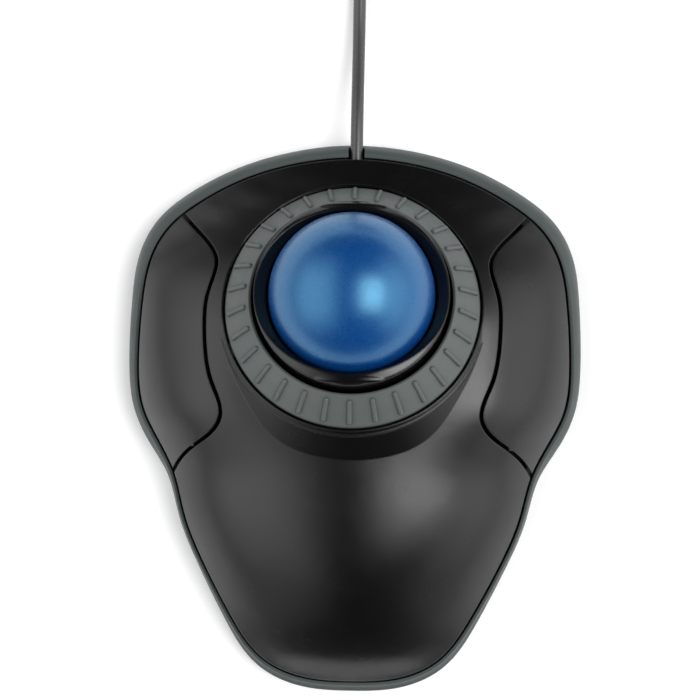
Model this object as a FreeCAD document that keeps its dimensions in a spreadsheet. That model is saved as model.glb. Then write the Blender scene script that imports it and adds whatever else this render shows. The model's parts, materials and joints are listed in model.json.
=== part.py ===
"""Trackball mouse: a wide low housing with a ball, a tilted scroll ring round it and two side buttons.

The model is in millimetres, +Z up, with the origin under the middle of the housing on the desk.
-Y is the palm end, +Y the end where the cord leaves, and the housing is the same on both sides of X = 0.
"""
import FreeCAD, Part
import math
import os
import re
import Sketcher
from FreeCAD import Placement, Rotation, Vector

SIZES = {
    # ball and the tilted axis that the ball, the cup, the bezel and the scroll ring share
    "ball_radius": 20.0,
    "ball_y": 29.7,
    "ball_z": 34.0,
    "ring_tilt": 18.0,
    "core_radius": 18.2,
    "skin_gap": 0.08,
    # scroll ring, measured from the ball's centre along the tilted axis
    "ring_outer": 31.0,
    "ring_outer_level": -7.0,
    "ring_inner": 24.7,
    "ring_inner_level": -0.9,
    "grip_thick": 2.1,
    "rib_height": 0.85,
    "rib_width": 1.2,
    "rib_count": 30.0,
    "slot_count": 48.0,
    "skirt_radius": 28.2,
    "skirt_thick": 0.8,
    "skirt_level": -14.0,
    "guide_radius": 24.2,
    "guide_play": 0.1,
    "plate_top": -8.4,
    "plate_bottom": -9.9,
    "plate_outer": 30.5,
    # bezel and cup
    "bezel_outer": 23.5,
    "bezel_inner": 20.6,
    "bezel_top": 3.7,
    "bezel_shoulder": 2.3,
    "bezel_flange": 25.6,
    "nub_height": 1.5,
    "cup_outer": 22.2,
    "cup_inner": 20.8,
    "cup_rim": 0.5,
    "shelf_outer": 26.8,
    "shelf_top": -10.2,
    "shelf_bottom": -11.7,
    "bearing_radius": 1.25,
    "bearing_polar": 52.0,
    "leg_radius": 2.4,
    # housing
    "desk_gap": 1.2,
    "floor_thick": 2.0,
    "cover_thick": 2.2,
    "side_thick": 2.0,
    "seam_gap": 0.7,
    "rim_land": 0.6,
    "nest_depth": 2.4,
    "groove_width": 0.95,
    "collar_bore": 31.4,
    "collar_edge": 0.6,
    "collar_draft": 40.0,
    # buttons and their switches
    "hinge_y": -5.0,
    "hinge_z": 9.0,
    "hinge_pin_radius": 1.0,
    "hinge_play": 0.06,
    "switch_x": 41.0,
    "switch_y": 22.0,
    "plunger_rise": 0.7,
    "post_gap": 0.08,
    # circuit board
    "board_z": 6.2,
    "board_thick": 1.6,
    "wing_half": 47.0,
    "trunk_half": 23.0,
    # screws
    "screw_radius": 1.3,
    "screw_head_radius": 2.5,
    "screw_head_height": 1.7,
    "boss_radius": 3.4,
    # feet and cord
    "foot_radius": 5.5,
    "foot_sink": 0.4,
    "cord_radius": 1.6,
    "cord_exit_z": 10.6,
}

doc = FreeCAD.newDocument("trackball_mouse")
sheet = doc.addObject("Spreadsheet::Sheet", "dims")
for row, (alias, number) in enumerate(SIZES.items(), start=1):
    sheet.set(f"A{row}", alias)
    sheet.set(f"B{row}", str(number))
    sheet.setAlias(f"B{row}", alias)
doc.recompute()

nodes = {}


# ---------------------------------------------------------------- helpers

def cells(text):
    """A formula with every alias written the way FreeCAD's expressions want it."""
    return re.sub(r"[a-z_]+", lambda m: "dims." + m.group() if m.group() in SIZES else m.group(), str(text))


def size(text):
    """What a formula of aliases comes to, as a plain number."""
    return float(sheet.evalExpression(cells(text)))


def keep(node, obj):
    """Marks obj as a finished sub-part that is written out under the name node."""
    obj.Label = node
    nodes[node] = obj
    return obj


def tilted(x=0.0, y=0.0, z=0.0, turn=0.0):
    """A placement in the ring's frame, whose origin is the ball's centre and whose Z is the tilted axis."""
    lean = Placement(Vector(0, size("ball_y"), size("ball_z")), Rotation(Vector(1, 0, 0), -size("ring_tilt")))
    return lean * Placement(Vector(0, 0, 0), Rotation(Vector(0, 0, 1), turn)) * Placement(Vector(x, y, z), Rotation())


def along(axis):
    """The rotation that turns +Z onto axis."""
    return Rotation(Vector(0, 0, 1), Vector(*axis))


def cylinder(name, radius, height, base=(0, 0, 0), axis=(0, 0, 1), frame=None):
    """A Part::Cylinder whose radius and height are formulas of the sheet's cells."""
    made = doc.addObject("Part::Cylinder", name)
    made.setExpression("Radius", cells(radius))
    made.setExpression("Height", cells(height))
    made.Placement = (frame or Placement()) * Placement(Vector(*base), along(axis))
    return made


def box(name, length, width, height, low, frame=None):
    """A Part::Box from its lowest corner; the three sides are formulas."""
    made = doc.addObject("Part::Box", name)
    made.setExpression("Length", cells(length))
    made.setExpression("Width", cells(width))
    made.setExpression("Height", cells(height))
    made.Placement = (frame or Placement()) * Placement(Vector(*low), Rotation())
    return made


def ball(name, radius, centre=(0, 0, 0), frame=None):
    """A Part::Sphere whose radius is a formula."""
    made = doc.addObject("Part::Sphere", name)
    made.setExpression("Radius", cells(radius))
    made.Placement = (frame or Placement()) * Placement(Vector(*centre), Rotation())
    return made


def fuse(name, *shapes):
    made = doc.addObject("Part::MultiFuse", name)
    made.Shapes = list(shapes)
    return made


def cut(name, base, *tools):
    """base with every tool taken away."""
    made = doc.addObject("Part::Cut", name)
    made.Base = base
    made.Tool = tools[0] if len(tools) == 1 else fuse(name + "_tools", *tools)
    return made


def common(name, first, second):
    made = doc.addObject("Part::Common", name)
    made.Base, made.Tool = first, second
    return made


def feature(name, shape):
    """A shape made directly with Part's functions."""
    made = doc.addObject("Part::Feature", name)
    made.Shape = shape
    return made


def extrusion(name, wire, height, low=0.0):
    """A solid raised from a wire feature along +Z."""
    made = doc.addObject("Part::Extrusion", name)
    made.Base = wire
    made.DirMode = "Custom"
    made.Dir = Vector(0, 0, 1)
    made.LengthFwd = height
    made.Solid = True
    made.Placement = Placement(Vector(0, 0, low), Rotation())
    return made


def plane_of(body, role):
    return next(o for o in body.Origin.OriginFeatures if o.Role == role)


def profile(body, name, role, points):
    """A closed sketch of straight edges whose every corner is held by two formulas."""
    sketch = body.newObject("Sketcher::SketchObject", name)
    sketch.AttachmentSupport = (plane_of(body, role), "")
    sketch.MapMode = "FlatFace"
    corners = [Vector(size(x), size(y), 0) for x, y in points]
    count = len(corners)
    for i, corner in enumerate(corners):
        sketch.addGeometry(Part.LineSegment(corner, corners[(i + 1) % count]), False)
    for i in range(count):
        sketch.addConstraint(Sketcher.Constraint("Coincident", i, 2, (i + 1) % count, 1))
    for i, (x, y) in enumerate(points):
        for kind, text in (("DistanceX", x), ("DistanceY", y)):
            number = sketch.addConstraint(Sketcher.Constraint(kind, -1, 1, i, 1, size(text)))
            sketch.setExpression(f"Constraints[{number}]", cells(text))
    return sketch


def turned(name, points, placement):
    """A PartDesign body turned from a profile of (radius, level) corners about its own Z axis."""
    body = doc.addObject("PartDesign::Body", name)
    sketch = profile(body, name + "_profile", "XZ_Plane", points)
    turn = body.newObject("PartDesign::Revolution", name + "_turn")
    turn.Profile = sketch
    turn.ReferenceAxis = (sketch, ["V_Axis"])
    turn.Angle = 360
    body.Placement = placement
    return body


def padded(name, points, height, placement):
    """A PartDesign body raised from a flat profile of (x, y) corners."""
    body = doc.addObject("PartDesign::Body", name)
    sketch = profile(body, name + "_profile", "XY_Plane", points)
    pad = body.newObject("PartDesign::Pad", name + "_pad")
    pad.Profile = sketch
    pad.setExpression("Length", cells(height))
    body.Placement = placement
    return body


def mirrored(name, source):
    """The same shape on the other side of X = 0."""
    made = doc.addObject("Part::Mirroring", name)
    made.Source = source
    made.Normal = Vector(1, 0, 0)
    return made


# ---------------------------------------------------------------- outlines of the housing

# Half of the black cover's edge seen from above, from the cord end round to the palm end:
# (x, y, how far the grey rim stands out beyond it there).
STATIONS = [
    (0.0, 64.4, 4.4), (14.5, 62.9, 4.4), (28.0, 58.8, 4.5), (39.2, 52.8, 4.6), (46.3, 47.0, 4.6),
    (50.5, 40.0, 4.3), (52.7, 29.0, 3.8), (53.6, 14.0, 3.4), (52.4, 2.2, 3.2), (48.6, -5.7, 3.2),
    (44.5, -13.9, 2.5), (41.6, -24.8, 2.2), (37.3, -35.4, 2.2), (29.8, -49.6, 2.5), (21.6, -60.3, 2.95),
    (11.9, -64.7, 3.15), (0.0, -65.6, 3.2),
]
SPLIT_FRONT, SPLIT_SLOPE = 8.0, 4.0 / 130.0


def split_level(y):
    """Height of the seam between the grey base and the black cover, a plane that rises towards the cord."""
    return SPLIT_FRONT + SPLIT_SLOPE * (y - STATIONS[-1][1])


def round_the_housing():
    """Every station of the whole outline, in order, with its outward normal."""
    half = STATIONS + [(-x, y, rim) for x, y, rim in reversed(STATIONS[1:-1])]
    found = []
    for i, (x, y, rim) in enumerate(half):
        before, after = half[i - 1], half[(i + 1) % len(half)]
        way = Vector(after[0] - before[0], after[1] - before[1], 0).normalize()
        found.append((x, y, rim, Vector(-way.y, way.x, 0)))
    return found


def outline(name, grow=0.0, rim_share=0.0, drop=None, level=None):
    """The housing's outline as a closed curve: grown outward by grow plus a share of the rim's width.
    It lies drop below the sloping seam, or flat at level."""
    points = []
    for x, y, rim, outward in round_the_housing():
        point = Vector(x, y, 0) + outward * (grow + rim_share * rim)
        point.z = level if level is not None else split_level(point.y) - drop
        points.append(point)
    curve = Part.BSplineCurve()
    curve.interpolate(Points=points, PeriodicFlag=True)
    return feature(name, Part.Wire([curve.toShape()]))


# ---------------------------------------------------------------- crown of the housing

def smooth(points):
    """A function that runs smoothly through (place, value) points and straight on past both ends."""
    places, values = zip(*points)
    slopes = []
    for i in range(len(points)):
        low, high = max(i - 1, 0), min(i + 1, len(points) - 1)
        slopes.append((values[high] - values[low]) / (places[high] - places[low]))

    def at(place):
        if place <= places[0]:
            return values[0] + slopes[0] * (place - places[0])
        if place >= places[-1]:
            return values[-1] + slopes[-1] * (place - places[-1])
        i = max(j for j in range(len(places) - 1) if places[j] <= place)
        span = places[i + 1] - places[i]
        t = (place - places[i]) / span
        return ((2 * t**3 - 3 * t**2 + 1) * values[i] + (t**3 - 2 * t**2 + t) * span * slopes[i]
                + (3 * t**2 - 2 * t**3) * values[i + 1] + (t**3 - t**2) * span * slopes[i + 1])

    return at


ridge = smooth([(-72, 0.0), (-66, 9.5), (-62, 14.6), (-57, 18.9), (-50, 23.2), (-38, 28.0), (-25, 30.9), (-9, 32.6),
                (5, 33.2), (17, 32.2), (28, 30.3), (42, 26.1), (52, 20.9), (57, 17.9), (61, 15.9), (64.4, 13.4), (72, 6.5)])
half_width = smooth([(-75, 24.4), (-66, 27.9), (-50, 32.7), (-36, 38.8), (-25, 43.0), (-14, 46.1), (-6, 49.9),
                     (2, 53.5), (14, 55.0), (29, 54.4), (40, 52.4), (50, 49.6), (60, 47.0), (72, 44.0)])
BUTTON_ROLL = ((0.38, 2.2), (0.62, 6.5))
PALM_ROLL = ((0.7, 2.0), (0.3, 6.3))
PALM_BOW, CORD_BOW = 115.0, 140.0
DISH_DEPTH, DISH_X, DISH_Y, DISH_WIDE, DISH_LONG = 1.3, 44.0, 20.0, 9.0, 24.0
CROWN_HALF_X, CROWN_HALF_Y, CROWN_STEP = 60.0, 72.0, 4.0


def step_up(t):
    t = min(1.0, max(0.0, t))
    return t * t * (3 - 2 * t)


def side_roll(share, terms):
    """How far the surface has come down from the ridge, from 0 in the middle to 1 at the housing's edge."""
    if share <= 1:
        return sum(part * share**power for part, power in terms)
    return 1 + (min(share, 1.25) - 1) * sum(part * power for part, power in terms)


def crown(x, y):
    """Height of the housing's top surface: a rounded ridge that rolls off to the seam on every side,
    with a shallow finger dish over each button."""
    bow = step_up((y - 20) / 30) / CORD_BOW - step_up((-20 - y) / 30) / PALM_BOW
    share = abs(x) / half_width(y)
    low = split_level(y)
    rise = ridge(y + bow * x * x) - low
    spine = low + (rise + 1 + math.sqrt((rise - 1) ** 2 + 4)) / 2
    palm = step_up((8 - y) / 24)
    roll = (1 - palm) * side_roll(share, BUTTON_ROLL) + palm * side_roll(share, PALM_ROLL)
    off = ((abs(x) - DISH_X) / DISH_WIDE) ** 2 + ((y - DISH_Y) / DISH_LONG) ** 2
    return spine - (spine - low) * roll - DISH_DEPTH * math.exp(-off)


def crown_solid(inset=0.0, depth=0.0):
    """Everything under the crown, or under the same surface drawn in by inset and lowered by depth."""
    across = int(round(2 * CROWN_HALF_X / CROWN_STEP))
    lengthways = int(round(2 * CROWN_HALF_Y / CROWN_STEP))
    spread_x = half_width(0) / (half_width(0) - inset)
    spread_y = -STATIONS[-1][1] / (-STATIONS[-1][1] - inset)
    grid = []
    for i in range(across + 1):
        x = -CROWN_HALF_X + CROWN_STEP * i
        ys = [-CROWN_HALF_Y + CROWN_STEP * j for j in range(lengthways + 1)]
        grid.append([Vector(x, y, crown(x * spread_x, y * spread_y) - depth) for y in ys])
    surface = Part.BSplineSurface()
    surface.interpolate(grid)
    solid = surface.toShape().extrude(Vector(0, 0, -90))
    if solid.Volume < 0:
        solid.reverse()
    return solid


under_crown = feature("under_crown", crown_solid())
under_shell = feature("under_shell", crown_solid(size("side_thick"), size("cover_thick")))


# ---------------------------------------------------------------- the groove round a button

# Middle of the groove on the +X side, from beyond the cord end round the button to beyond the palm end.
GROOVE = [(55.0, 63.5), (46.2, 53.8), (39.2, 46.2), (35.2, 41.8), (33.6, 38.4), (34.2, 34.4), (35.6, 29.5),
          (36.0, 23.0), (35.5, 15.5), (34.1, 9.3), (31.9, 3.6), (31.6, 0.4), (33.2, -2.8), (37.2, -6.1),
          (41.4, -9.4), (44.6, -13.6), (48.0, -20.0)]
FAR_OUT = 70.0


def button_field(name, grow):
    """The prism that a button fills, with its edge moved outward by grow."""
    moved = []
    for i, (x, y) in enumerate(GROOVE):
        before, after = GROOVE[max(i - 1, 0)], GROOVE[min(i + 1, len(GROOVE) - 1)]
        way = Vector(after[0] - before[0], after[1] - before[1], 0).normalize()
        moved.append(Vector(x, y, 0) + Vector(way.y, -way.x, 0) * grow)
    curve = Part.BSplineCurve()
    curve.interpolate(Points=moved)
    first, last = moved[0], moved[-1]
    outer = [last, Vector(FAR_OUT, last.y, 0), Vector(FAR_OUT, first.y, 0), first]
    edges = [curve.toShape()] + [Part.makeLine(outer[i], outer[i + 1]) for i in range(3)]
    wire = feature(name + "_edge", Part.Wire(edges))
    return extrusion(name, wire, 60.0, low=0.0)


# ---------------------------------------------------------------- ball, in two shells that each carry one spin

core = ball("core_sphere", "core_radius", frame=tilted())
core.Placement = Placement(Vector(0, size("ball_y"), size("ball_z")), Rotation())
keep("ball_core", core)
skin_outside = ball("skin_outside", "ball_radius", (0, size("ball_y"), size("ball_z")))
skin_inside = ball("skin_inside", "core_radius + skin_gap", (0, size("ball_y"), size("ball_z")))
keep("ball_shell", cut("ball_skin", skin_outside, skin_inside))

# ---------------------------------------------------------------- scroll ring: rubber grip, carrier, encoder wheel

UNDER = "(grip_thick / 0.72)"
BORE = "(ring_inner - 0.6)"
grip_ring = turned("grip_ring", [
    (BORE, f"ring_inner_level - {UNDER}"), (BORE, "ring_inner_level - 0.9"),
    ("ring_inner - 0.35", "ring_inner_level - 0.25"), ("ring_inner + 0.2", "ring_inner_level - 0.05"),
    ("ring_inner + 3.0", "ring_inner_level - 2.5"), ("ring_outer - 0.5", "ring_outer_level + 0.6"),
    ("ring_outer - 0.1", "ring_outer_level + 0.1"), ("ring_outer", "ring_outer_level - 0.4"),
    ("ring_outer", "plate_top"), ("ring_outer - 1.7", "plate_top"),
], tilted())
slope_run = size("ring_outer - ring_inner")
slope_fall = size("ring_inner_level - ring_outer_level")
slope_long = math.hypot(slope_run, slope_fall)
slope_angle = math.degrees(math.atan2(slope_fall, slope_run))
rib_long = slope_long - 2.2
down_slope = Placement(Vector(size("ring_inner"), 0, size("ring_inner_level")), Rotation(Vector(0, 1, 0), slope_angle))
rib_start = 1.2 + size("rib_width") / 2
rib_end = rib_start + rib_long - size("rib_width")
rib_depth = size("rib_height - rib_width / 2")
rib_bar = cylinder("rib_bar", "rib_width / 2", str(rib_end - rib_start), (rib_start, 0, rib_depth), (1, 0, 0),
                   frame=down_slope)
rib_top = ball("rib_top_end", "rib_width / 2", (rib_start, 0, rib_depth), frame=down_slope)
rib_low = ball("rib_low_end", "rib_width / 2", (rib_end, 0, rib_depth), frame=down_slope)
rib = fuse("rib", rib_bar, rib_top, rib_low)
doc.recompute()


def ringed(name, shape, count, offset=0.0):
    """Copies of a shape that lies on the ring frame's +X side, evenly spread round the tilted axis."""
    copies = []
    for i in range(int(count)):
        copy = shape.copy()
        copy.Placement = tilted(turn=offset + 360.0 * i / count) * copy.Placement
        copies.append(copy)
    return feature(name, Part.makeCompound(copies))


ribs = ringed("ribs", rib.Shape, size("rib_count"), offset=90.0)
keep("scroll_ring_grip", fuse("grip_with_ribs", grip_ring, ribs))
keep("scroll_ring_carrier", turned("ring_carrier", [
    (BORE, f"ring_inner_level - {UNDER}"), ("ring_outer - 1.7", "plate_top"),
    ("bezel_flange + 0.5", "plate_top"), ("bezel_flange + 0.5", "ring_outer_level + 0.6"),
    (BORE, "ring_outer_level + 0.6"),
], tilted()))
wheel_blank = turned("encoder_blank", [
    ("guide_radius + guide_play", "plate_top"), ("guide_radius + guide_play", "plate_bottom"),
    ("skirt_radius - skirt_thick", "plate_bottom"), ("skirt_radius - skirt_thick", "skirt_level"),
    ("skirt_radius", "skirt_level"), ("skirt_radius", "plate_bottom"),
    ("plate_outer", "plate_bottom"), ("plate_outer", "plate_top"),
], tilted())
slot = box("encoder_slot", "3.0", "1.8", "2.2", (size("skirt_radius") - 2.0, -0.9, size("skirt_level") + 0.8))
doc.recompute()
slots = ringed("encoder_slots", slot.Shape, size("slot_count"))
keep("encoder_wheel", cut("encoder_wheel_cut", wheel_blank, slots))

# ---------------------------------------------------------------- bezel, cup and the three bearings

bezel_ring = turned("bezel_turned", [
    ("cup_outer", "plate_top + 0.4"), ("bezel_flange", "plate_top + 0.4"), ("bezel_flange", "plate_top + 1.4"),
    ("bezel_outer", "plate_top + 1.4"), ("bezel_outer", "bezel_shoulder"),
    ("bezel_outer - 0.08", "bezel_shoulder + 0.25"), ("bezel_outer - 0.25", "bezel_shoulder + 0.45"),
    ("bezel_outer - 0.55", "bezel_shoulder + 0.62"), ("bezel_outer - 1.1", "bezel_shoulder + 0.9"),
    ("bezel_outer - 1.7", "bezel_top - 0.2"), ("bezel_inner + 0.75", "bezel_top"),
    ("bezel_inner + 0.35", "bezel_top - 0.12"), ("bezel_inner + 0.08", "bezel_top - 0.45"),
    ("bezel_inner", "bezel_top - 0.85"), ("bezel_inner", "cup_rim"), ("cup_outer", "cup_rim"),
], tilted())
# The lip is scooped away at the sides of the ball, so its edge stands high only at the palm and cord ends.
scoop = doc.addObject("Part::Ellipsoid", "bezel_scoop")
scoop.Radius1, scoop.Radius2, scoop.Radius3 = 8.0, 24.9, 21.3
scoop.Placement = tilted(z=size("bezel_top") + 1.6)
bezel_ring = cut("bezel_scooped", bezel_ring, scoop)
# Two low bumps on those high ends reach in towards the ball and run out into the lip on both sides.
nubs = []
for name, turn in (("cord_end_nub", 90.0), ("palm_end_nub", 270.0)):
    nub = doc.addObject("Part::Ellipsoid", name)
    nub.Radius1, nub.Radius2, nub.Radius3 = 1.5, 1.5, 8.5
    nub.setExpression("Radius1", cells("nub_height"))
    nub.Placement = tilted(x=size("bezel_inner") + 1.15, z=size("bezel_top") - 1.4, turn=turn)
    nubs.append(nub)
keep("ball_bezel", fuse("bezel_with_nubs", bezel_ring, *nubs))

cup_ball = ball("cup_ball", "cup_outer", frame=tilted())
above_cup = cylinder("above_cup", "30.0", "30.0", (0, 0, size("cup_rim")), frame=tilted())
cup_bowl = cut("cup_bowl", cup_ball, above_cup)
cup_wall = cylinder("cup_wall", "cup_outer", "cup_rim - shelf_bottom", (0, 0, size("shelf_bottom")), frame=tilted())
cup_shelf = cylinder("cup_shelf", "shelf_outer", "shelf_top - shelf_bottom", (0, 0, size("shelf_bottom")),
                     frame=tilted())
cup_guide = cylinder("cup_guide", "guide_radius", "plate_top + 0.4 - shelf_top", (0, 0, size("shelf_top")),
                     frame=tilted())
BOSS_MEET = 5.4
LEG_AT = 23.6
LEG_TURNS = (35.0, 145.0, 215.0, 325.0)
legs, leg_places = [], []
for i, turn in enumerate(LEG_TURNS):
    top = tilted(x=LEG_AT, z=size("shelf_bottom") + 0.6, turn=turn).Base
    leg_places.append((top.x, top.y))
    legs.append(cylinder(f"cup_leg_{i + 1}", "leg_radius", str(top.z - BOSS_MEET), (top.x, top.y, BOSS_MEET)))
cup_solid = fuse("cup_solid", cup_bowl, cup_wall, cup_shelf, cup_guide, *legs)
cup_hollow = ball("cup_hollow", "cup_inner", frame=tilted())
lens_hole = cylinder("lens_hole", "3.0", "14.0", (0, size("ball_y"), size("ball_z") - 28.0))

bearing_turns = (90.0, 210.0, 330.0)
bearing_reach = size("ball_radius + bearing_radius") + 0.05
polar = math.radians(size("bearing_polar"))
bearings, sockets = [], []
for i, turn in enumerate(bearing_turns):
    place = tilted(x=bearing_reach * math.sin(polar), z=-bearing_reach * math.cos(polar), turn=turn).Base
    bearing = ball(f"bearing_{i + 1}", "bearing_radius", (place.x, place.y, place.z))
    keep(f"support_bearing_{i + 1}", bearing)
    bearings.append(bearing)
    sockets.append(ball(f"bearing_socket_{i + 1}", "bearing_radius + 1.3", (place.x, place.y, place.z)))
cup_screw_holes = [cylinder(f"cup_screw_hole_{i + 1}", "screw_radius", "9.0", (x, y, 2.0))
                   for i, (x, y) in enumerate(leg_places)]
cup_raw = fuse("cup_raw", cup_solid, *sockets)
keep("ball_cup", cut("cup_cut", cup_raw, cup_hollow, lens_hole, *bearings, *cup_screw_holes))

# ---------------------------------------------------------------- grey base

base_bottom = outline("base_bottom", rim_share=0.5, level=size("desk_gap"))
base_low = outline("base_low", rim_share=0.86, level=size("desk_gap") + 0.9)
base_wide = outline("base_wide", rim_share=1.0, level=3.6)
base_shoulder = outline("base_shoulder", grow=0.5, rim_share=0.66, drop=2.2)
base_top = outline("base_top", grow=size("seam_gap + rim_land"), rim_share=0.04, drop=0.0)
base_loft = doc.addObject("Part::Loft", "base_loft")
base_loft.Sections = [base_bottom, base_low, base_wide, base_shoulder, base_top]
base_loft.Solid = True
base_loft.Ruled = False
base_room = extrusion("base_room", outline("base_room_edge", grow=-1.7, level=0.0), 20.0,
                      low=size("desk_gap + floor_thick"))
nest_room = extrusion("nest_room", outline("nest_room_edge", grow=size("seam_gap"), drop=size("nest_depth") + 0.3),
                      20.0)
base_tray = cut("base_tray", base_loft, base_room, nest_room)

CASE_SCREWS = [(16.0, -46.0), (-16.0, -46.0), (30.0, 50.0), (-30.0, 50.0)]
BOARD_SCREWS = [(30.0, 17.0), (-30.0, 17.0), (9.0, 5.0), (-9.0, 5.0)]
FEET = [(29.0, -28.0), (-29.0, -28.0), (38.0, 38.0), (-38.0, 38.0)]
board_z = size("board_z")
base_posts = []
for i, (x, y) in enumerate(CASE_SCREWS + leg_places):
    base_posts.append(cylinder(f"screw_pad_{i + 1}", "boss_radius + 0.6", str(BOSS_MEET - 2.0), (x, y, 2.0)))
for i, (x, y) in enumerate(BOARD_SCREWS):
    base_posts.append(cylinder(f"board_post_{i + 1}", "boss_radius - 0.6", f"board_z - 2.0", (x, y, 2.0)))

# Ears that hold each button's trunnions, one pair on each side of the housing.
EAR_AT, EAR_THICK, LUG_WIDE = 40.7, 1.4, 4.4
hinge_y, hinge_z = size("hinge_y"), size("hinge_z")
ears = []
for side in (-1, 1):
    for k in (-1, 1):
        x = side * EAR_AT + k * (LUG_WIDE / 2 + 0.35 + EAR_THICK / 2)
        name = f"ear_{'left' if side < 0 else 'right'}_{'in' if k * side < 0 else 'out'}"
        web = box(name, str(EAR_THICK), "5.6", str(hinge_z - 2.0), (x - EAR_THICK / 2, hinge_y - 2.8, 2.0))
        crest = cylinder(name + "_crest", "2.8", str(EAR_THICK), (x - EAR_THICK / 2, hinge_y, hinge_z), (1, 0, 0))
        ears += [web, crest]
EAR_SPAN = LUG_WIDE + 2 * (0.35 + EAR_THICK) + 0.4
pin_rooms = [cylinder(f"pin_room_{i + 1}", "hinge_pin_radius + hinge_play", str(EAR_SPAN),
                      (side * EAR_AT - EAR_SPAN / 2, hinge_y, hinge_z), (1, 0, 0)) for i, side in enumerate((1, -1))]
base_whole = fuse("base_whole", base_tray, *base_posts, *ears)

base_cuts = list(pin_rooms)
for i, (x, y) in enumerate(CASE_SCREWS + leg_places):
    base_cuts.append(cylinder(f"screw_recess_{i + 1}", "screw_head_radius + 0.4", "screw_head_height + 0.6",
                              (x, y, size("desk_gap") - 0.5)))
    base_cuts.append(cylinder(f"screw_way_{i + 1}", "screw_radius + 0.3", "9.0", (x, y, size("desk_gap"))))
for i, (x, y) in enumerate(BOARD_SCREWS):
    base_cuts.append(cylinder(f"board_screw_way_{i + 1}", "screw_radius - 0.3", "6.0", (x, y, 2.2)))
for i, (x, y) in enumerate(FEET):
    base_cuts.append(cylinder(f"foot_recess_{i + 1}", "foot_radius", "foot_sink + 0.5",
                              (x, y, size("desk_gap") - 0.5)))
LABEL_LONG, LABEL_WIDE = 34.0, 18.0
base_cuts.append(box("label_recess", str(LABEL_LONG + 1.0), str(LABEL_WIDE + 1.0), "1.0",
                     (-LABEL_LONG / 2 - 0.5, -18.0 - 0.5, size("desk_gap") - 0.5)))
exit_z = size("cord_exit_z")
NOTCH_HALF = 2.0
base_cuts.append(box("cord_notch", str(2 * NOTCH_HALF), "20.0", "20.0", (-NOTCH_HALF, 57.0, exit_z)))
base_cuts.append(cylinder("cord_notch_bed", str(NOTCH_HALF), "20.0", (0, 57.0, exit_z), (0, 1, 0)))
keep("base_shell", cut("base_cut", base_whole, *base_cuts))

foot_pads = []
for i, (x, y) in enumerate(FEET):
    foot_pads.append(cylinder(f"foot_{i + 1}", "foot_radius", "desk_gap + foot_sink", (x, y, 0.0)))
    keep(f"rubber_foot_{i + 1}", foot_pads[-1])
keep("label_plate", box("label_blank", str(LABEL_LONG), str(LABEL_WIDE), "0.35",
                        (-LABEL_LONG / 2, -18.0, size("desk_gap") + 0.15)))

# ---------------------------------------------------------------- black top cover

cover_prism = extrusion("cover_prism", outline("cover_edge", drop=0.2), 60.0)
cover_skin = common("cover_skin", under_crown, cover_prism)
cover_nest = extrusion("cover_nest", outline("cover_nest_edge", drop=size("nest_depth")), size("nest_depth"))
cover_block = fuse("cover_block", cover_skin, cover_nest)
cover_room_prism = extrusion("cover_room_prism", outline("cover_room_edge", grow=-size("side_thick"), drop=5.0), 60.0)
cover_room = common("cover_room", under_shell, cover_room_prism)

# The raised collar round the ring stands on the palm in front and sinks into the crown at the back.
COLLAR_FLARE = "tan(collar_draft)"
collar_cone = turned("collar_cone", [
    ("collar_bore", "-24.0"), (f"collar_bore + collar_edge + 16.6 * {COLLAR_FLARE}", "-24.0"),
    ("collar_bore + collar_edge", "-7.5"), ("collar_bore + collar_edge - 0.2", "-7.3"),
    ("collar_bore + 0.15", "-7.3"), ("collar_bore", "-7.45"),
], tilted())
collar = cut("collar_above_shell", collar_cone, under_shell)
well_tube = turned("well_tube", [
    ("collar_bore", "-13.0"), ("collar_bore + 1.4", "-13.0"), ("collar_bore + 1.4", "-8.0"), ("collar_bore", "-8.0"),
], tilted())
case_bosses = [cylinder(f"case_boss_{i + 1}", "boss_radius", "24.0", (x, y, BOSS_MEET))
               for i, (x, y) in enumerate(CASE_SCREWS)]
bosses_under = common("bosses_under", fuse("case_bosses", *case_bosses), under_crown)

groove = size("groove_width")
cover_right_field = button_field("cover_right_field", groove / 2)
cover_left_field = mirrored("cover_left_field", cover_right_field)
well_bore = cylinder("well_bore", "collar_bore + 0.3", "40.0", (0, 0, -34.0), frame=tilted())
case_holes = [cylinder(f"case_hole_{i + 1}", "screw_radius", "11.0", (x, y, 1.0))
              for i, (x, y) in enumerate(CASE_SCREWS)]
cord_way = cylinder("cord_way", "cord_radius + 0.4", "20.0", (0, 57.0, exit_z), (0, 1, 0))
relief_room = cylinder("relief_room", "2.9", "5.6", (0, 56.0, exit_z), (0, 1, 0))
cover_hollow = cut("cover_hollow", cover_block, cover_room)
cover_open = cut("cover_open", fuse("cover_bossed", cover_hollow, bosses_under), well_bore)
cover_whole = fuse("cover_whole", fuse("collar_and_well", collar, well_tube), cover_open)
cover_split = cut("cover_split", cut("cover_less_right", cover_whole, cover_right_field), cover_left_field)
keep("top_cover", cut("cover_cut", cover_split, cord_way, relief_room, *case_holes))

# ---------------------------------------------------------------- the two buttons

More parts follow.
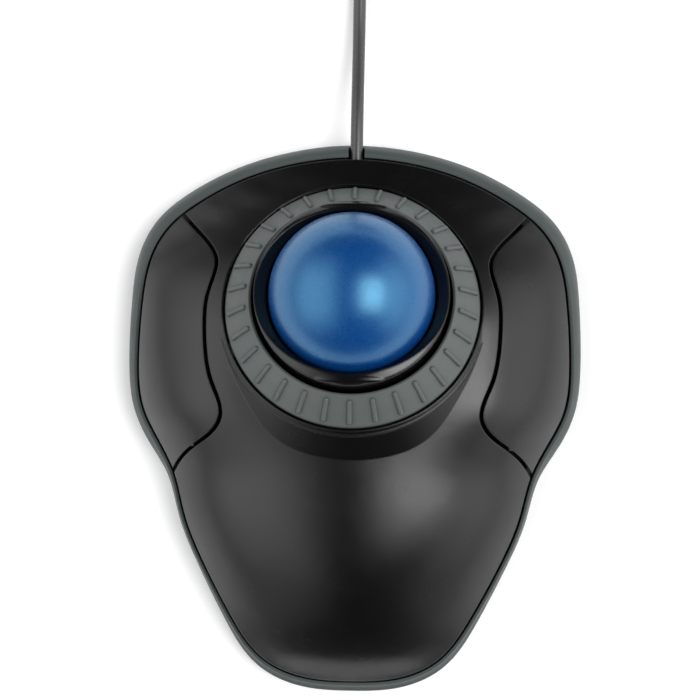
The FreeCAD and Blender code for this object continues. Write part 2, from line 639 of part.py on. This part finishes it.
button_prism = extrusion("button_prism", outline("button_edge", drop=0.6), 60.0)
button_block = common("button_block", common("button_skin", under_crown, button_prism),
                      button_field("button_field", -groove / 2))
button_room_prism = extrusion("button_room_prism", outline("button_room_edge", grow=-1.6, drop=5.0), 60.0)
button_room = common("button_room", under_shell, button_room_prism)
button_cap = cut("button_cap", button_block, button_room)
button_lug = box("button_lug", str(LUG_WIDE), "4.4", "16.0", (EAR_AT - LUG_WIDE / 2, hinge_y - 2.2, hinge_z))
button_knuckle = cylinder("button_knuckle", "2.2", str(LUG_WIDE), (EAR_AT - LUG_WIDE / 2, hinge_y, hinge_z), (1, 0, 0))
post_low = board_z + size("board_thick") + 6.5 + size("plunger_rise + post_gap")
button_post = cylinder("button_post", "1.8", "14.0", (size("switch_x"), size("switch_y"), post_low))
button_struts = common("button_struts", fuse("button_lug_and_post", button_lug, button_post), under_crown)
TRUNNION = LUG_WIDE + 2 * (0.35 + EAR_THICK) - 0.2
trunnion = cylinder("button_trunnion", "hinge_pin_radius", str(TRUNNION), (EAR_AT - TRUNNION / 2, hinge_y, hinge_z),
                    (1, 0, 0))
right_button = keep("right_button", fuse("right_button_whole", button_cap, button_struts, button_knuckle, trunnion))
keep("left_button", mirrored("left_button_mirror", right_button))


def group(node, *parts):
    """Separate solids that share one node, such as four screws of one kind."""
    made = doc.addObject("Part::Compound", node + "_group")
    made.Links = list(parts)
    return keep(node, made)


# ---------------------------------------------------------------- circuit board and what stands on it

board_low, board_top = board_z, board_z + size("board_thick")
WING_FRONT, WING_BACK, TRUNK_FRONT, TRUNK_BACK = "11.0", "33.0", "1.5", "52.0"
board_blank = padded("board_blank", [
    ("-trunk_half", TRUNK_FRONT), ("trunk_half", TRUNK_FRONT), ("trunk_half", WING_FRONT),
    ("wing_half", WING_FRONT), ("wing_half", WING_BACK), ("trunk_half", WING_BACK),
    ("trunk_half", TRUNK_BACK), ("-trunk_half", TRUNK_BACK), ("-trunk_half", WING_BACK),
    ("-wing_half", WING_BACK), ("-wing_half", WING_FRONT), ("-trunk_half", WING_FRONT),
], "board_thick", Placement(Vector(0, 0, board_low), Rotation()))
board_ways = [cylinder(f"board_leg_way_{i + 1}", "leg_radius + 0.5", "6.0", (x, y, board_low - 2.0))
              for i, (x, y) in enumerate(leg_places)]
board_ways += [cylinder(f"board_screw_hole_{i + 1}", "screw_radius - 0.3", "6.0", (x, y, board_low - 2.0))
               for i, (x, y) in enumerate(BOARD_SCREWS)]

# Button switches: a tray, a cover, a contact blade, three terminals and a plunger each.
SWITCH_WIDE, SWITCH_LONG, SWITCH_HIGH, SWITCH_WALL = 5.8, 12.8, 6.5, 0.6
TRAY_HIGH = 3.5
STEM_WIDE, STEM_LONG = 1.6, 2.8
stem_top = board_top + SWITCH_HIGH + size("plunger_rise")
all_pins = []
for side, hand in ((1, "right"), (-1, "left")):
    sx, sy = side * size("switch_x"), size("switch_y")
    x0, y0 = sx - SWITCH_WIDE / 2, sy - SWITCH_LONG / 2
    inner_wide, inner_long = SWITCH_WIDE - 2 * SWITCH_WALL, SWITCH_LONG - 2 * SWITCH_WALL
    hollow = box(f"{hand}_switch_hollow", str(inner_wide), str(inner_long), "4.3",
                 (x0 + SWITCH_WALL, y0 + SWITCH_WALL, board_top + 1.2))
    tray = box(f"{hand}_switch_tray", str(SWITCH_WIDE), str(SWITCH_LONG), str(TRAY_HIGH), (x0, y0, board_top))
    lid = box(f"{hand}_switch_lid", str(SWITCH_WIDE), str(SWITCH_LONG), str(SWITCH_HIGH - TRAY_HIGH),
              (x0, y0, board_top + TRAY_HIGH))
    stem_way = box(f"{hand}_stem_way", str(STEM_WIDE + 0.14), str(STEM_LONG + 0.14), "4.0",
                   (sx - STEM_WIDE / 2 - 0.07, sy - STEM_LONG / 2 - 0.07, board_top + TRAY_HIGH + 1.0))
    pins = [box(f"{hand}_switch_pin_{k + 1}", "0.5", "0.9", "4.0", (sx - 0.25, sy - 0.45 + (k - 1) * 5.0, board_low - 1.2))
            for k in range(3)]
    all_pins += pins
    blade = box(f"{hand}_blade", "3.0", "10.6", "0.25", (sx - 1.5, sy - 5.3, board_top + 3.0))
    keep(f"{hand}_switch_case", cut(f"{hand}_tray_cut", tray, hollow, *pins))
    keep(f"{hand}_switch_cover", cut(f"{hand}_lid_cut", lid, hollow, stem_way))
    group(f"{hand}_switch_contacts", blade, *pins)
    stem = box(f"{hand}_stem", str(STEM_WIDE), str(STEM_LONG), "3.0",
               (sx - STEM_WIDE / 2, sy - STEM_LONG / 2, stem_top - 3.0))
    flange = box(f"{hand}_stem_flange", "3.0", "4.4", "0.6", (sx - 1.5, sy - 2.2, stem_top - 3.0))
    keep(f"{hand}_switch_plunger", fuse(f"{hand}_plunger", stem, flange))

keep("main_board", cut("board_cut", board_blank, *board_ways, *all_pins))

ball_y = size("ball_y")
keep("sensor_chip", box("sensor_blank", "10.0", "8.0", "2.2", (-5.0, ball_y - 4.0, board_top)))
lens_plate = box("lens_plate", "9.0", "7.0", "0.9", (-4.5, ball_y - 3.5, board_top + 2.2))
lens_stem = cylinder("lens_stem", "2.2", "1.6", (0, ball_y, board_top + 2.2))
keep("sensor_lens", fuse("lens_whole", lens_plate, lens_stem))
led_y = ball_y + 8.4
led_stem = cylinder("led_stem", "1.5", "3.2", (0, led_y, board_top))
led_dome = ball("led_dome", "1.5", (0, led_y, board_top + 3.2))
keep("sensor_led", fuse("led_whole", led_stem, led_dome))
clip_block = box("clip_block", "5.4", "5.0", "2.2", (-2.7, led_y - 2.5, board_top))
keep("led_clip", cut("clip_cut", clip_block, led_stem))
keep("controller_chip", box("controller_blank", "7.0", "7.0", "1.2", (-14.5, 20.5, board_top)))
group("board_capacitors", *[cylinder(f"capacitor_{i + 1}", "2.0", "5.4", (x, y, board_top))
                            for i, (x, y) in enumerate([(12.0, 24.0), (13.5, 30.0), (-13.0, 31.5)])])

# Optical pair that straddles the slotted skirt of the encoder wheel at the back.
PAIR_LEVEL = -16.2
keep("encoder_board", box("encoder_board_blank", "14.0", "8.2", "0.9", (-7.0, 23.4, PAIR_LEVEL - 0.9),
                          frame=tilted()))
keep("ring_emitter", box("emitter_blank", "4.0", "2.2", "3.9", (-2.0, 24.5, PAIR_LEVEL), frame=tilted()))
keep("ring_detector", box("detector_blank", "4.0", "2.2", "5.2", (-2.0, 29.0, PAIR_LEVEL), frame=tilted()))
pin_top = tilted(x=0, y=25.2, z=PAIR_LEVEL - 0.9).Base
group("encoder_pins", *[cylinder(f"encoder_pin_{i + 1}", "0.4", str(pin_top.z - board_top), (x, pin_top.y, board_top))
                        for i, x in enumerate((-5.0, -3.0, 3.0, 5.0))])

# ---------------------------------------------------------------- cord: what holds it and where it goes inside

CORD_START = 58.5
cord_hole = cylinder("cord_hole", "cord_radius", "10.0", (0, 55.0, exit_z), (0, 1, 0))
relief_body = cylinder("relief_body", "2.9", "3.1", (0, CORD_START, exit_z), (0, 1, 0))
keep("strain_relief", cut("relief_cut", relief_body, cord_hole))
keep("cable_header", box("header_blank", "10.0", "4.0", "3.2", (9.5, 44.0, board_top)))
keep("cable_socket", box("socket_blank", "9.0", "5.0", "2.6", (10.0, 48.0, board_top + 0.2)))


def wire_solid(points, radius):
    """A thin wire swept along a smooth curve through a few points."""
    curve = Part.BSplineCurve()
    curve.interpolate([Vector(*p) for p in points])
    spine = Part.Wire([curve.toShape()])
    ring = Part.Circle(Vector(*points[0]), curve.tangent(curve.FirstParameter)[0], radius)
    return spine.makePipeShell([Part.Wire([ring.toShape()])], True, True)


wires = []
for i in range(4):
    socket_x = 11.8 + 1.8 * i
    lead_x = -0.55 + 1.1 * (i % 2)
    lead_z = exit_z - 0.55 + 1.1 * (i // 2)
    path = [(socket_x, 53.0, board_top + 1.5), (socket_x - 0.8, 54.8, board_top + 1.6 + 0.2 * i),
            (5.5 + 1.2 * i, 56.9, lead_z), (lead_x + 1.4, 57.4, lead_z), (lead_x, CORD_START, lead_z)]
    wires.append(feature(f"wire_{i + 1}", wire_solid(path, 0.4)))
group("cable_wires", *wires)


def cord_tube(name, points):
    """A cord of straight runs joined by tangent arcs, each arc as wide as the shorter run beside it allows."""
    points = [Vector(*p) for p in points]
    edges, start = [], points[0]
    for before, corner, after in zip(points, points[1:], points[2:]):
        inward, outward = (corner - before).normalize(), (after - corner).normalize()
        turn = inward.getAngle(outward)
        reach = 0.45 * min((corner - before).Length, (after - corner).Length)
        radius = reach / math.tan(turn / 2)
        first, last = corner - inward * reach, corner + outward * reach
        middle = corner + (outward - inward).normalize() * (radius / math.cos(turn / 2) - radius)
        edges.append(Part.LineSegment(start, first).toShape())
        edges.append(Part.Arc(first, middle, last).toShape())
        print(f"{name}: bend of {radius:.1f} mm at {corner.x:.0f}, {corner.y:.0f}, {corner.z:.1f}")
        start = last
    edges.append(Part.LineSegment(start, points[-1]).toShape())
    spine = Part.Wire(edges)
    ring = Part.Circle(points[0], points[1] - points[0], size("cord_radius"))
    solid = spine.makePipeShell([Part.Wire([ring.toShape()])], True, True)
    share = solid.Volume / (math.pi * size("cord_radius") ** 2 * spine.Length)
    print(f"{name}: {spine.Length:.1f} mm long, volume {share:.4f} of section times length")
    return feature(name, solid)


# The put-away turns: the cord joins their outermost column and leaves it again at the top.
COIL_Y, COIL_MID, COIL_HALF, COIL_LOW = 176.0, 17.6, 6.75, 0.9
COIL_OUTER = COIL_MID + COIL_HALF - size("cord_radius")
COIL_X = COIL_OUTER
PLUG_X, PLUG_Z = 63.0, 4.0
coil = turned("coil_turned", [
    (str(COIL_MID - COIL_HALF), "2.0"), (str(COIL_MID - COIL_HALF), str(2 * COIL_HALF - 2.0)),
    (str(COIL_MID - COIL_HALF + 2.0), str(2 * COIL_HALF)), (str(COIL_MID + COIL_HALF - 2.0), str(2 * COIL_HALF)),
    (str(COIL_MID + COIL_HALF), str(2 * COIL_HALF - 2.0)), (str(COIL_MID + COIL_HALF), "2.0"),
    (str(COIL_MID + COIL_HALF - 2.0), "0.0"), (str(COIL_MID - COIL_HALF + 2.0), "0.0"),
], Placement(Vector(COIL_X, COIL_Y, COIL_LOW), Rotation()))
keep("cable_coil", coil)
low_z = size("cord_radius")
run = cord_tube("cord_run", [(0, CORD_START, exit_z), (0, 74.0, exit_z), (0, 91.0, 4.6), (0, 108.0, low_z),
                             (0, COIL_Y - 6.0, COIL_LOW + low_z)])
keep("usb_cable", cut("cord_run_cut", run, coil))
lead_y = COIL_Y + COIL_OUTER
lead = cord_tube("plug_lead", [(COIL_X + 4.0, lead_y, 12.4), (COIL_X + 15.0, lead_y, 12.2),
                               (COIL_X + 29.0, lead_y, 5.0), (PLUG_X, lead_y, PLUG_Z)])
plug_grip_block = box("plug_grip_block", "20.0", "16.0", "8.0", (PLUG_X, lead_y - 8.0, PLUG_Z - 4.0))
keep("plug_lead", cut("plug_lead_cut", lead, coil, plug_grip_block))

SHELL_WIDE, SHELL_HIGH, SHELL_LONG, SHELL_WALL = 12.0, 4.5, 14.0, 0.32
plug_face = PLUG_X + 20.0
shell_block = box("plug_shell_block", str(SHELL_LONG), str(SHELL_WIDE), str(SHELL_HIGH),
                  (plug_face - 2.0, lead_y - SHELL_WIDE / 2, PLUG_Z - SHELL_HIGH / 2))
shell_room = box("plug_shell_room", str(SHELL_LONG + 2.0), str(SHELL_WIDE - 2 * SHELL_WALL),
                 str(SHELL_HIGH - 2 * SHELL_WALL),
                 (plug_face - 3.0, lead_y - SHELL_WIDE / 2 + SHELL_WALL, PLUG_Z - SHELL_HIGH / 2 + SHELL_WALL))
keep("usb_plug_grip", cut("plug_grip_cut", plug_grip_block, shell_block))
keep("usb_plug_shell", cut("plug_shell_cut", shell_block, shell_room))
tongue_high = 1.9
tongue = box("plug_tongue", str(SHELL_LONG - 0.6), str(SHELL_WIDE - 2 * SHELL_WALL), str(tongue_high),
             (plug_face - 2.0, lead_y - SHELL_WIDE / 2 + SHELL_WALL, PLUG_Z - SHELL_HIGH / 2 + SHELL_WALL))
keep("usb_plug_tongue", tongue)
contact_z = PLUG_Z - SHELL_HIGH / 2 + SHELL_WALL + tongue_high
group("usb_plug_contacts", *[box(f"plug_contact_{i + 1}", "8.0", "1.0", "0.12",
                                 (plug_face + 3.0, lead_y - 3.5 + 2.0 * i + 0.0, contact_z)) for i in range(4)])

TIE_THICK, TIE_WIDE = 0.9, 8.0
tie_low = box("tie_block", str(TIE_WIDE), str(2 * COIL_HALF + 2 * TIE_THICK), str(2 * COIL_HALF + 2 * TIE_THICK),
              (COIL_X - TIE_WIDE / 2, COIL_Y - COIL_MID - COIL_HALF - TIE_THICK, COIL_LOW - TIE_THICK))
keep("cable_tie", cut("tie_cut", tie_low, coil))

# ---------------------------------------------------------------- screws


def screw(name, x, y, head_z, length, up=1):
    """A pan-headed screw, its head's flat side at head_z and its shank running up or down from there."""
    head_low = head_z - size("screw_head_height") if up > 0 else head_z
    head = cylinder(name + "_head", "screw_head_radius", "screw_head_height", (x, y, head_low))
    shank = cylinder(name + "_shank", "screw_radius", str(length), (x, y, head_z if up > 0 else head_z - length))
    drive = box(name + "_drive", "2.6", "0.6", "0.8",
                (x - 1.3, y - 0.3, head_low if up > 0 else head_z + size("screw_head_height") - 0.8))
    return cut(name, fuse(name + "_blank", head, shank), drive)


recess_top = size("desk_gap") - 0.5 + size("screw_head_height") + 0.6
group("case_screws", *[screw(f"case_screw_{i + 1}", x, y, recess_top, 8.0) for i, (x, y) in enumerate(CASE_SCREWS)])
group("cup_screws", *[screw(f"cup_screw_{i + 1}", x, y, recess_top, 7.0) for i, (x, y) in enumerate(leg_places)])
board_screws = []
for i, (x, y) in enumerate(BOARD_SCREWS):
    head = cylinder(f"board_screw_{i + 1}_head", "screw_head_radius - 0.5", "1.2", (x, y, board_top))
    shank = cylinder(f"board_screw_{i + 1}_shank", "screw_radius - 0.3", "4.6", (x, y, board_top - 4.6))
    board_screws.append(fuse(f"board_screw_{i + 1}", head, shank))
group("board_screws", *board_screws)

# ---------------------------------------------------------------- check and write

doc.recompute()
faults = []
for made in doc.Objects:
    if "Invalid" in made.State or "Error" in made.State:
        faults.append(f"{made.Label} is {made.State}")
for node, made in nodes.items():
    shape = made.Shape
    if shape.isNull() or not shape.isValid() or not shape.Solids:
        faults.append(f"{node} has no sound solid")
        continue
    low_high = shape.optimalBoundingBox()
    if low_high.ZMin < -0.001:
        faults.append(f"{node} reaches below the desk")
    print(f"{node}: {len(shape.Solids)} solid(s), {shape.Volume:.0f} mm3, "
          f"x {low_high.XMin:.1f}..{low_high.XMax:.1f}, y {low_high.YMin:.1f}..{low_high.YMax:.1f}, "
          f"z {low_high.ZMin:.1f}..{low_high.ZMax:.1f}")
if faults:
    raise SystemExit("faults: " + "; ".join(faults))
os.makedirs("parts", exist_ok=True)
for node, made in nodes.items():
    made.Shape.exportStep(f"parts/{node}.step")
print(f"{len(nodes)} parts written")
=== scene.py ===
"""Trackball mouse on a white table, seen from straight above.

Lengths are in metres in the CAD frame: +X right, +Y towards the cord end, +Z up, desk at Z = 0.
"""
import bpy
import json
import math
from mathutils import Matrix, Vector


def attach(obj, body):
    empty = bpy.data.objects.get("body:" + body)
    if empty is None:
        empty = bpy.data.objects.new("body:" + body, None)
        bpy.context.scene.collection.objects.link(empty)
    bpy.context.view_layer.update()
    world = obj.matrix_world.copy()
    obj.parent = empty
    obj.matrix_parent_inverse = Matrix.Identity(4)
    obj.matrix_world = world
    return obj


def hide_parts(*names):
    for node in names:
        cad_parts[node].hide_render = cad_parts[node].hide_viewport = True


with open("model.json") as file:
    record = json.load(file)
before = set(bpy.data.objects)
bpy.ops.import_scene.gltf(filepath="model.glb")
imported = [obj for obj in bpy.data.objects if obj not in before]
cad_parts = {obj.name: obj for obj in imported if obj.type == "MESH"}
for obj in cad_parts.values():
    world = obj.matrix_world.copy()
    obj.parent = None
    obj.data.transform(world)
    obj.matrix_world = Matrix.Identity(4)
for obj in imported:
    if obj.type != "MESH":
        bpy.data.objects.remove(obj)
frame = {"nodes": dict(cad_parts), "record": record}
nodes = frame["nodes"]
bpy.context.view_layer.update()

# ---------------------------------------------------------------- camera

CAMERA_HEIGHT = 0.557
CAMERA_X, CAMERA_Y = 0.016, 0.0082
VIEW_WIDTH = 0.1765  # what the picture spans at VIEW_LEVEL, just above the desk
VIEW_LEVEL = 0.006
LOOK_AT = Vector((-0.0011, 0.0171, VIEW_LEVEL))
ROLL = math.radians(0.8)
SENSOR = 36.0  # mm

camera_data = bpy.data.cameras.new("camera")
camera_data.sensor_width = SENSOR
camera_data.lens = SENSOR * (CAMERA_HEIGHT - VIEW_LEVEL) / VIEW_WIDTH
camera_data.clip_start = 0.01
camera = bpy.data.objects.new("camera", camera_data)
bpy.context.scene.collection.objects.link(camera)
eye = Vector((CAMERA_X, CAMERA_Y, CAMERA_HEIGHT))
look = (LOOK_AT - eye).normalized()
right = Vector((math.cos(ROLL), math.sin(ROLL), 0.0))
up = right.cross(look).normalized()
right = look.cross(up).normalized()
turn = Matrix((right, up, -look)).transposed()
camera.matrix_world = Matrix.Translation(eye) @ turn.to_4x4()
bpy.context.scene.camera = camera

# ---------------------------------------------------------------- the cord

# It runs straight out of the housing, down to the desk, into its coil and on to the plug.
CORD_DIAMETER = 0.0032
EXIT = Vector((0.0, 0.0585, 0.0106))
COIL = Vector((0.02275, 0.176, 0.0009))  # the coil's centre, at its lowest level
COIL_MIDDLE = 0.0176  # its mean radius
COIL_PITCH = 0.00335  # from one turn to the next, sideways and upwards
COLUMNS, LAYERS = 4, 4
POINTS_PER_TURN = 16
# A curve's box is its points' box grown by their radius, so that radius is kept small.
POINT_RADIUS = 0.001
PLUG_X, PLUG_Z = 0.063, 0.004


def coil_points():
    """Turns that fill the coil's square section a layer at a time, inwards and then outwards again."""
    reach = COIL_MIDDLE - COIL_PITCH * (COLUMNS - 1) / 2
    last = COLUMNS * LAYERS - 1
    points = []
    for i in range(int((last + 0.25) * POINTS_PER_TURN) + 1):
        turned = i / POINTS_PER_TURN
        whole = min(int(turned), last)
        ease = max(0.0, (turned - whole - 0.75) / 0.25)
        ease = ease * ease * (3 - 2 * ease)

        def cell(number):
            layer, column = divmod(min(number, last), COLUMNS)
            return (column if layer % 2 else COLUMNS - 1 - column), layer

        (column, layer), (next_column, next_layer) = cell(whole), cell(whole + 1)
        radius = reach + COIL_PITCH * (column + (next_column - column) * ease)
        height = CORD_DIAMETER / 2 + COIL_PITCH * (layer + (next_layer - layer) * ease)
        angle = math.pi - 2 * math.pi * turned
        points.append(COIL + Vector((radius * math.cos(angle), radius * math.sin(angle), height)))
    return points


route = [EXIT, Vector((0, 0.074, 0.0106)), Vector((0, 0.091, 0.0046)), Vector((0, 0.108, 0.0017))]
route += coil_points()
lead_y = COIL.y + COIL.x
route += [Vector((COIL.x + 0.004, lead_y, 0.0124)), Vector((COIL.x + 0.015, lead_y, 0.0122)),
          Vector((COIL.x + 0.029, lead_y, 0.005)), Vector((PLUG_X + 0.002, lead_y, PLUG_Z))]


def cord_curve(name, points, radius):
    data = bpy.data.curves.new(name, "CURVE")
    data.dimensions = "3D"
    spline = data.splines.new("NURBS")
    spline.points.add(len(points) - 1)
    for place, point in zip(spline.points, points):
        place.co = (point.x, point.y, point.z, 1.0)
        place.radius = POINT_RADIUS
    spline.order_u = 3
    spline.use_endpoint_u = True
    spline.resolution_u = 6
    data.bevel_depth = radius / POINT_RADIUS
    data.bevel_resolution = 6
    data.use_fill_caps = True
    made = bpy.data.objects.new(name, data)
    bpy.context.scene.collection.objects.link(made)
    return made


cord = cord_curve("cord", route, CORD_DIAMETER / 2)
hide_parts("usb_cable", "cable_coil", "plug_lead")
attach(cord, "housing")

# ---------------------------------------------------------------- materials

# How far the painted shade reaches that darkens the colour in corners and gaps.
CORNER_SHADE_REACH = 0.0015
SMOOTHEST = 0.02


def wires(material):
    """The node tree's nodes and links, and its Principled node."""
    tree = material.node_tree
    return tree.nodes, tree.links, tree.nodes["Principled BSDF"]


def noise(material, scale, detail=3.0, roughness=0.6):
    made, links, _ = wires(material)
    where = made.new("ShaderNodeTexCoord")
    grain = made.new("ShaderNodeTexNoise")
    grain.inputs["Scale"].default_value = scale
    grain.inputs["Detail"].default_value = detail
    grain.inputs["Roughness"].default_value = roughness
    links.new(where.outputs["Object"], grain.inputs["Vector"])
    return grain


def ramp(material, source, stops):
    """A colour ramp fed by source, with (place, colour) stops."""
    made, links, _ = wires(material)
    band = made.new("ShaderNodeValToRGB")
    band.color_ramp.elements[0].position, band.color_ramp.elements[0].color = stops[0]
    band.color_ramp.elements[1].position, band.color_ramp.elements[1].color = stops[-1]
    for place, colour in stops[1:-1]:
        band.color_ramp.elements.new(place).color = colour
    links.new(source, band.inputs["Fac"])
    return band


def grey(value):
    return (value, value, value, 1.0)


def bump(material, source, height, rounding=0.0):
    """Relief from source on the shader's normal, over edges that are rounded off by that radius."""
    made, links, shader = wires(material)
    relief = made.new("ShaderNodeBump")
    relief.inputs["Distance"].default_value = height
    links.new(source, relief.inputs["Height"])
    if rounding:
        edge = made.new("ShaderNodeBevel")
        edge.samples = 6
        edge.inputs["Radius"].default_value = rounding
        links.new(edge.outputs["Normal"], relief.inputs["Normal"])
    links.new(relief.outputs["Normal"], shader.inputs["Normal"])
    return relief


def paint_corner_shade(material, source, reach):
    """Colour from source with painted shade: darker by ambient occlusion in corners closer than that
    reach.
    """
    made, links, shader = wires(material)
    corner_shade = made.new("ShaderNodeAmbientOcclusion")
    corner_shade.samples = 8
    corner_shade.inputs["Distance"].default_value = reach
    links.new(source, corner_shade.inputs["Color"])
    links.new(corner_shade.outputs["Color"], shader.inputs["Base Color"])


def moulded(name, colour, rough, variety=0.06, grain_scale=5200, grain_height=0.00002, shade=0.12,
            rounding=0.0003, shine=0.5):
    """Moulded plastic: a spark-eroded grain, and slow drifts of colour and polish."""
    material = bpy.data.materials.new(name)
    material.use_nodes = True
    made, links, shader = wires(material)
    drift = noise(material, 45, 4)
    dark = tuple(c * (1 - shade) for c in colour) + (1.0,)
    light = tuple(min(1.0, c * (1 + shade)) for c in colour) + (1.0,)
    tone = ramp(material, drift.outputs["Fac"], [(0.3, dark), (0.7, light)])
    # Painted shade: the colour goes darker in corners, creases and gaps between parts.
    paint_corner_shade(material, tone.outputs["Color"], CORNER_SHADE_REACH)
    polish = noise(material, 160, 5)
    sheen = ramp(material, polish.outputs["Fac"],
                 [(0.3, grey(max(SMOOTHEST, rough - variety))), (0.7, grey(rough + variety))])
    links.new(sheen.outputs["Color"], shader.inputs["Roughness"])
    shader.inputs["Specular IOR Level"].default_value = shine
    grain = noise(material, grain_scale, 2, 0.5)
    bump(material, grain.outputs["Fac"], grain_height, rounding)
    return material


def metal(name, colour, rough):
    """Bare or plated metal, faintly uneven."""
    material = moulded(name, colour, rough, variety=0.07, grain_scale=900, grain_height=0.00001,
                       rounding=0.0001)
    wires(material)[2].inputs["Metallic"].default_value = 1.0
    return material


def clear(name, colour):
    """A clear or tinted moulding."""
    material = moulded(name, colour, 0.08, variety=0.04, grain_height=0.000002, rounding=0.0001)
    wires(material)[2].inputs["Transmission Weight"].default_value = 0.9
    return material


def general(entry):
    """A material from the record's colour and class, for the pieces that are hidden or small."""
    name, kind, colour = entry["slot"], entry["class"], tuple(entry["base_color"][:3])
    if kind in ("chrome", "brass", "aluminium", "brushed_steel"):
        return metal(name, colour, {"chrome": 0.1, "brushed_steel": 0.34}.get(kind, 0.26))
    if kind == "glass":
        return clear(name, colour)
    if kind == "fabric":
        return moulded(name, colour, 0.85, grain_scale=1700, grain_height=0.0003, shade=0.35, shine=0.2)
    if kind == "rubber":
        return moulded(name, colour, 0.6, grain_scale=3200, grain_height=0.00004)
    return moulded(name, colour, 0.18 if kind == "gloss_plastic" else 0.5)


def ball_paint():
    """Deep blue lacquer over fine metal flake, under a clear coat."""
    material = bpy.data.materials.new("ball_paint")
    material.use_nodes = True
    made, links, shader = wires(material)
    where = made.new("ShaderNodeTexCoord")
    flakes = made.new("ShaderNodeTexVoronoi")
    flakes.inputs["Scale"].default_value = 4200
    links.new(where.outputs["Object"], flakes.inputs["Vector"])
    tint = made.new("ShaderNodeSeparateColor")
    links.new(flakes.outputs["Color"], tint.inputs["Color"])
    base = ramp(material, tint.outputs["Red"],
                [(0.0, (0.001, 0.042, 0.19, 1)), (0.8, (0.001, 0.05, 0.225, 1)),
                 (1.0, (0.006, 0.085, 0.3, 1))])
    links.new(base.outputs["Color"], shader.inputs["Base Color"])
    gleam = ramp(material, tint.outputs["Green"], [(0.0, grey(0.27)), (1.0, grey(0.36))])
    links.new(gleam.outputs["Color"], shader.inputs["Roughness"])
    shader.inputs["Metallic"].default_value = 0.08
    shader.inputs["IOR"].default_value = 1.9
    shader.inputs["Specular IOR Level"].default_value = 0.6
    shader.inputs["Specular Tint"].default_value = (0.33, 0.85, 1.0, 1)
    shader.inputs["Coat Weight"].default_value = 0.05
    shader.inputs["Coat IOR"].default_value = 1.4
    shader.inputs["Coat Roughness"].default_value = 0.05
    bump(material, tint.outputs["Blue"], 0.000002)
    return material


COVER_BLACK = (0.0024, 0.0023, 0.0023)
paints = {
    "base_plastic": moulded("base_plastic", (0.06, 0.071, 0.07), 0.5, shade=0.05, shine=0.25),
    "cover_plastic": moulded("cover_plastic", COVER_BLACK, 0.26, variety=0.02, shade=0.06,
                             rounding=0.0005),
    "button_plastic": moulded("button_plastic", COVER_BLACK, 0.26, variety=0.02, shade=0.06,
                              rounding=0.0005),
    "grip_rubber": moulded("grip_rubber", (0.1, 0.112, 0.11), 0.42, grain_scale=3800,
                           grain_height=0.00004, shade=0.05, shine=0.3),
    "ring_plastic": moulded("ring_plastic", (0.012, 0.012, 0.013), 0.5),
    "bezel_gloss": moulded("bezel_gloss", (0.004, 0.004, 0.0043), 0.09, variety=0.02,
                           grain_height=0.000003, rounding=0.0008),
    "ball_paint": ball_paint(),
    "cord_jacket": moulded("cord_jacket", (0.05, 0.05, 0.051), 0.28, grain_height=0.00001),
}
for node in frame["record"]["subparts"]:
    slot = node["material_slot"]
    if slot not in paints:
        entry = next(m for m in frame["record"]["materials"] if m["slot"] == slot)
        paints[slot] = general(entry)
    thing = nodes[node["node"]]
    thing.data.materials.clear()
    thing.data.materials.append(paints[slot])
cord.data.materials.append(paints["cord_jacket"])

# ---------------------------------------------------------------- table and light

TABLE_SIZE = 3.0
bpy.ops.mesh.primitive_plane_add(size=TABLE_SIZE, location=(0, 0, 0))
table = bpy.context.object
table.name = "table"
table_paint = bpy.data.materials.new("table_paint")
table_paint.use_nodes = True
_, _, table_shader = wires(table_paint)
table_shader.inputs["Base Color"].default_value = (0.9, 0.9, 0.9, 1)
table_shader.inputs["Roughness"].default_value = 0.8
table_shader.inputs["Emission Color"].default_value = (1, 1, 1, 1)
table_shader.inputs["Emission Strength"].default_value = 0.18
table.data.materials.append(table_paint)


# The room: a dark ceiling, a wide glow on each side, and a small strong one on the right.

world = bpy.data.worlds.new("room")
bpy.context.scene.world = world
world.use_nodes = True
sky = world.node_tree.nodes
sky_links = world.node_tree.links


def sky_math(kind, *values):
    made = sky.new("ShaderNodeMath")
    made.operation = kind
    for socket, value in zip(made.inputs, values):
        if isinstance(value, (int, float)):
            socket.default_value = value
        else:
            sky_links.new(value, socket)
    return made.outputs["Value"]


def sky_step(value, low, high):
    """Rises smoothly from 0 at low to 1 at high; falls when low is above high."""
    made = sky.new("ShaderNodeMapRange")
    made.interpolation_type = "SMOOTHSTEP"
    sky_links.new(value, made.inputs["Value"])
    made.inputs["From Min"].default_value = low
    made.inputs["From Max"].default_value = high
    return made.outputs["Result"]


where = sky.new("ShaderNodeTexCoord")
parts = sky.new("ShaderNodeSeparateXYZ")
sky_links.new(where.outputs["Generated"], parts.inputs["Vector"])
DEGREES = 180 / math.pi
across = sky_math("MULTIPLY", sky_math("ARCTAN2", parts.outputs["X"], parts.outputs["Z"]), DEGREES)
lengthways = sky_math("ABSOLUTE",
                      sky_math("MULTIPLY", sky_math("ARCSINE", parts.outputs["Y"]), DEGREES))


def glow(strength, start, full, late, end, reach, fade):
    """A soft patch of light on the sky, by angles from straight up in degrees.

    Across, positive to the right, it rises from start to full and falls from late to end.
    Lengthways it is full out to reach, on both sides, and gone at fade.
    """
    side = sky_math("MULTIPLY", sky_step(across, start, full), sky_step(across, end, late))
    return sky_math("MULTIPLY", sky_math("MULTIPLY", side, sky_step(lengthways, fade, reach)), strength)


CEILING = 0.03
light = sky_math("ADD", glow(2.0, -6, -40, -62, -100, 14, 62), glow(1.8, 36, 60, 76, 100, 14, 60))
light = sky_math("ADD", light, glow(6.5, 3, 26, 38, 52, 9, 32))
light = sky_math("ADD", light, CEILING)
sky["Background"].inputs["Color"].default_value = (1, 1, 1, 1)
sky_links.new(light, sky["Background"].inputs["Strength"])
bpy.context.scene.view_settings.view_transform = "Standard"

bpy.context.view_layer.update()
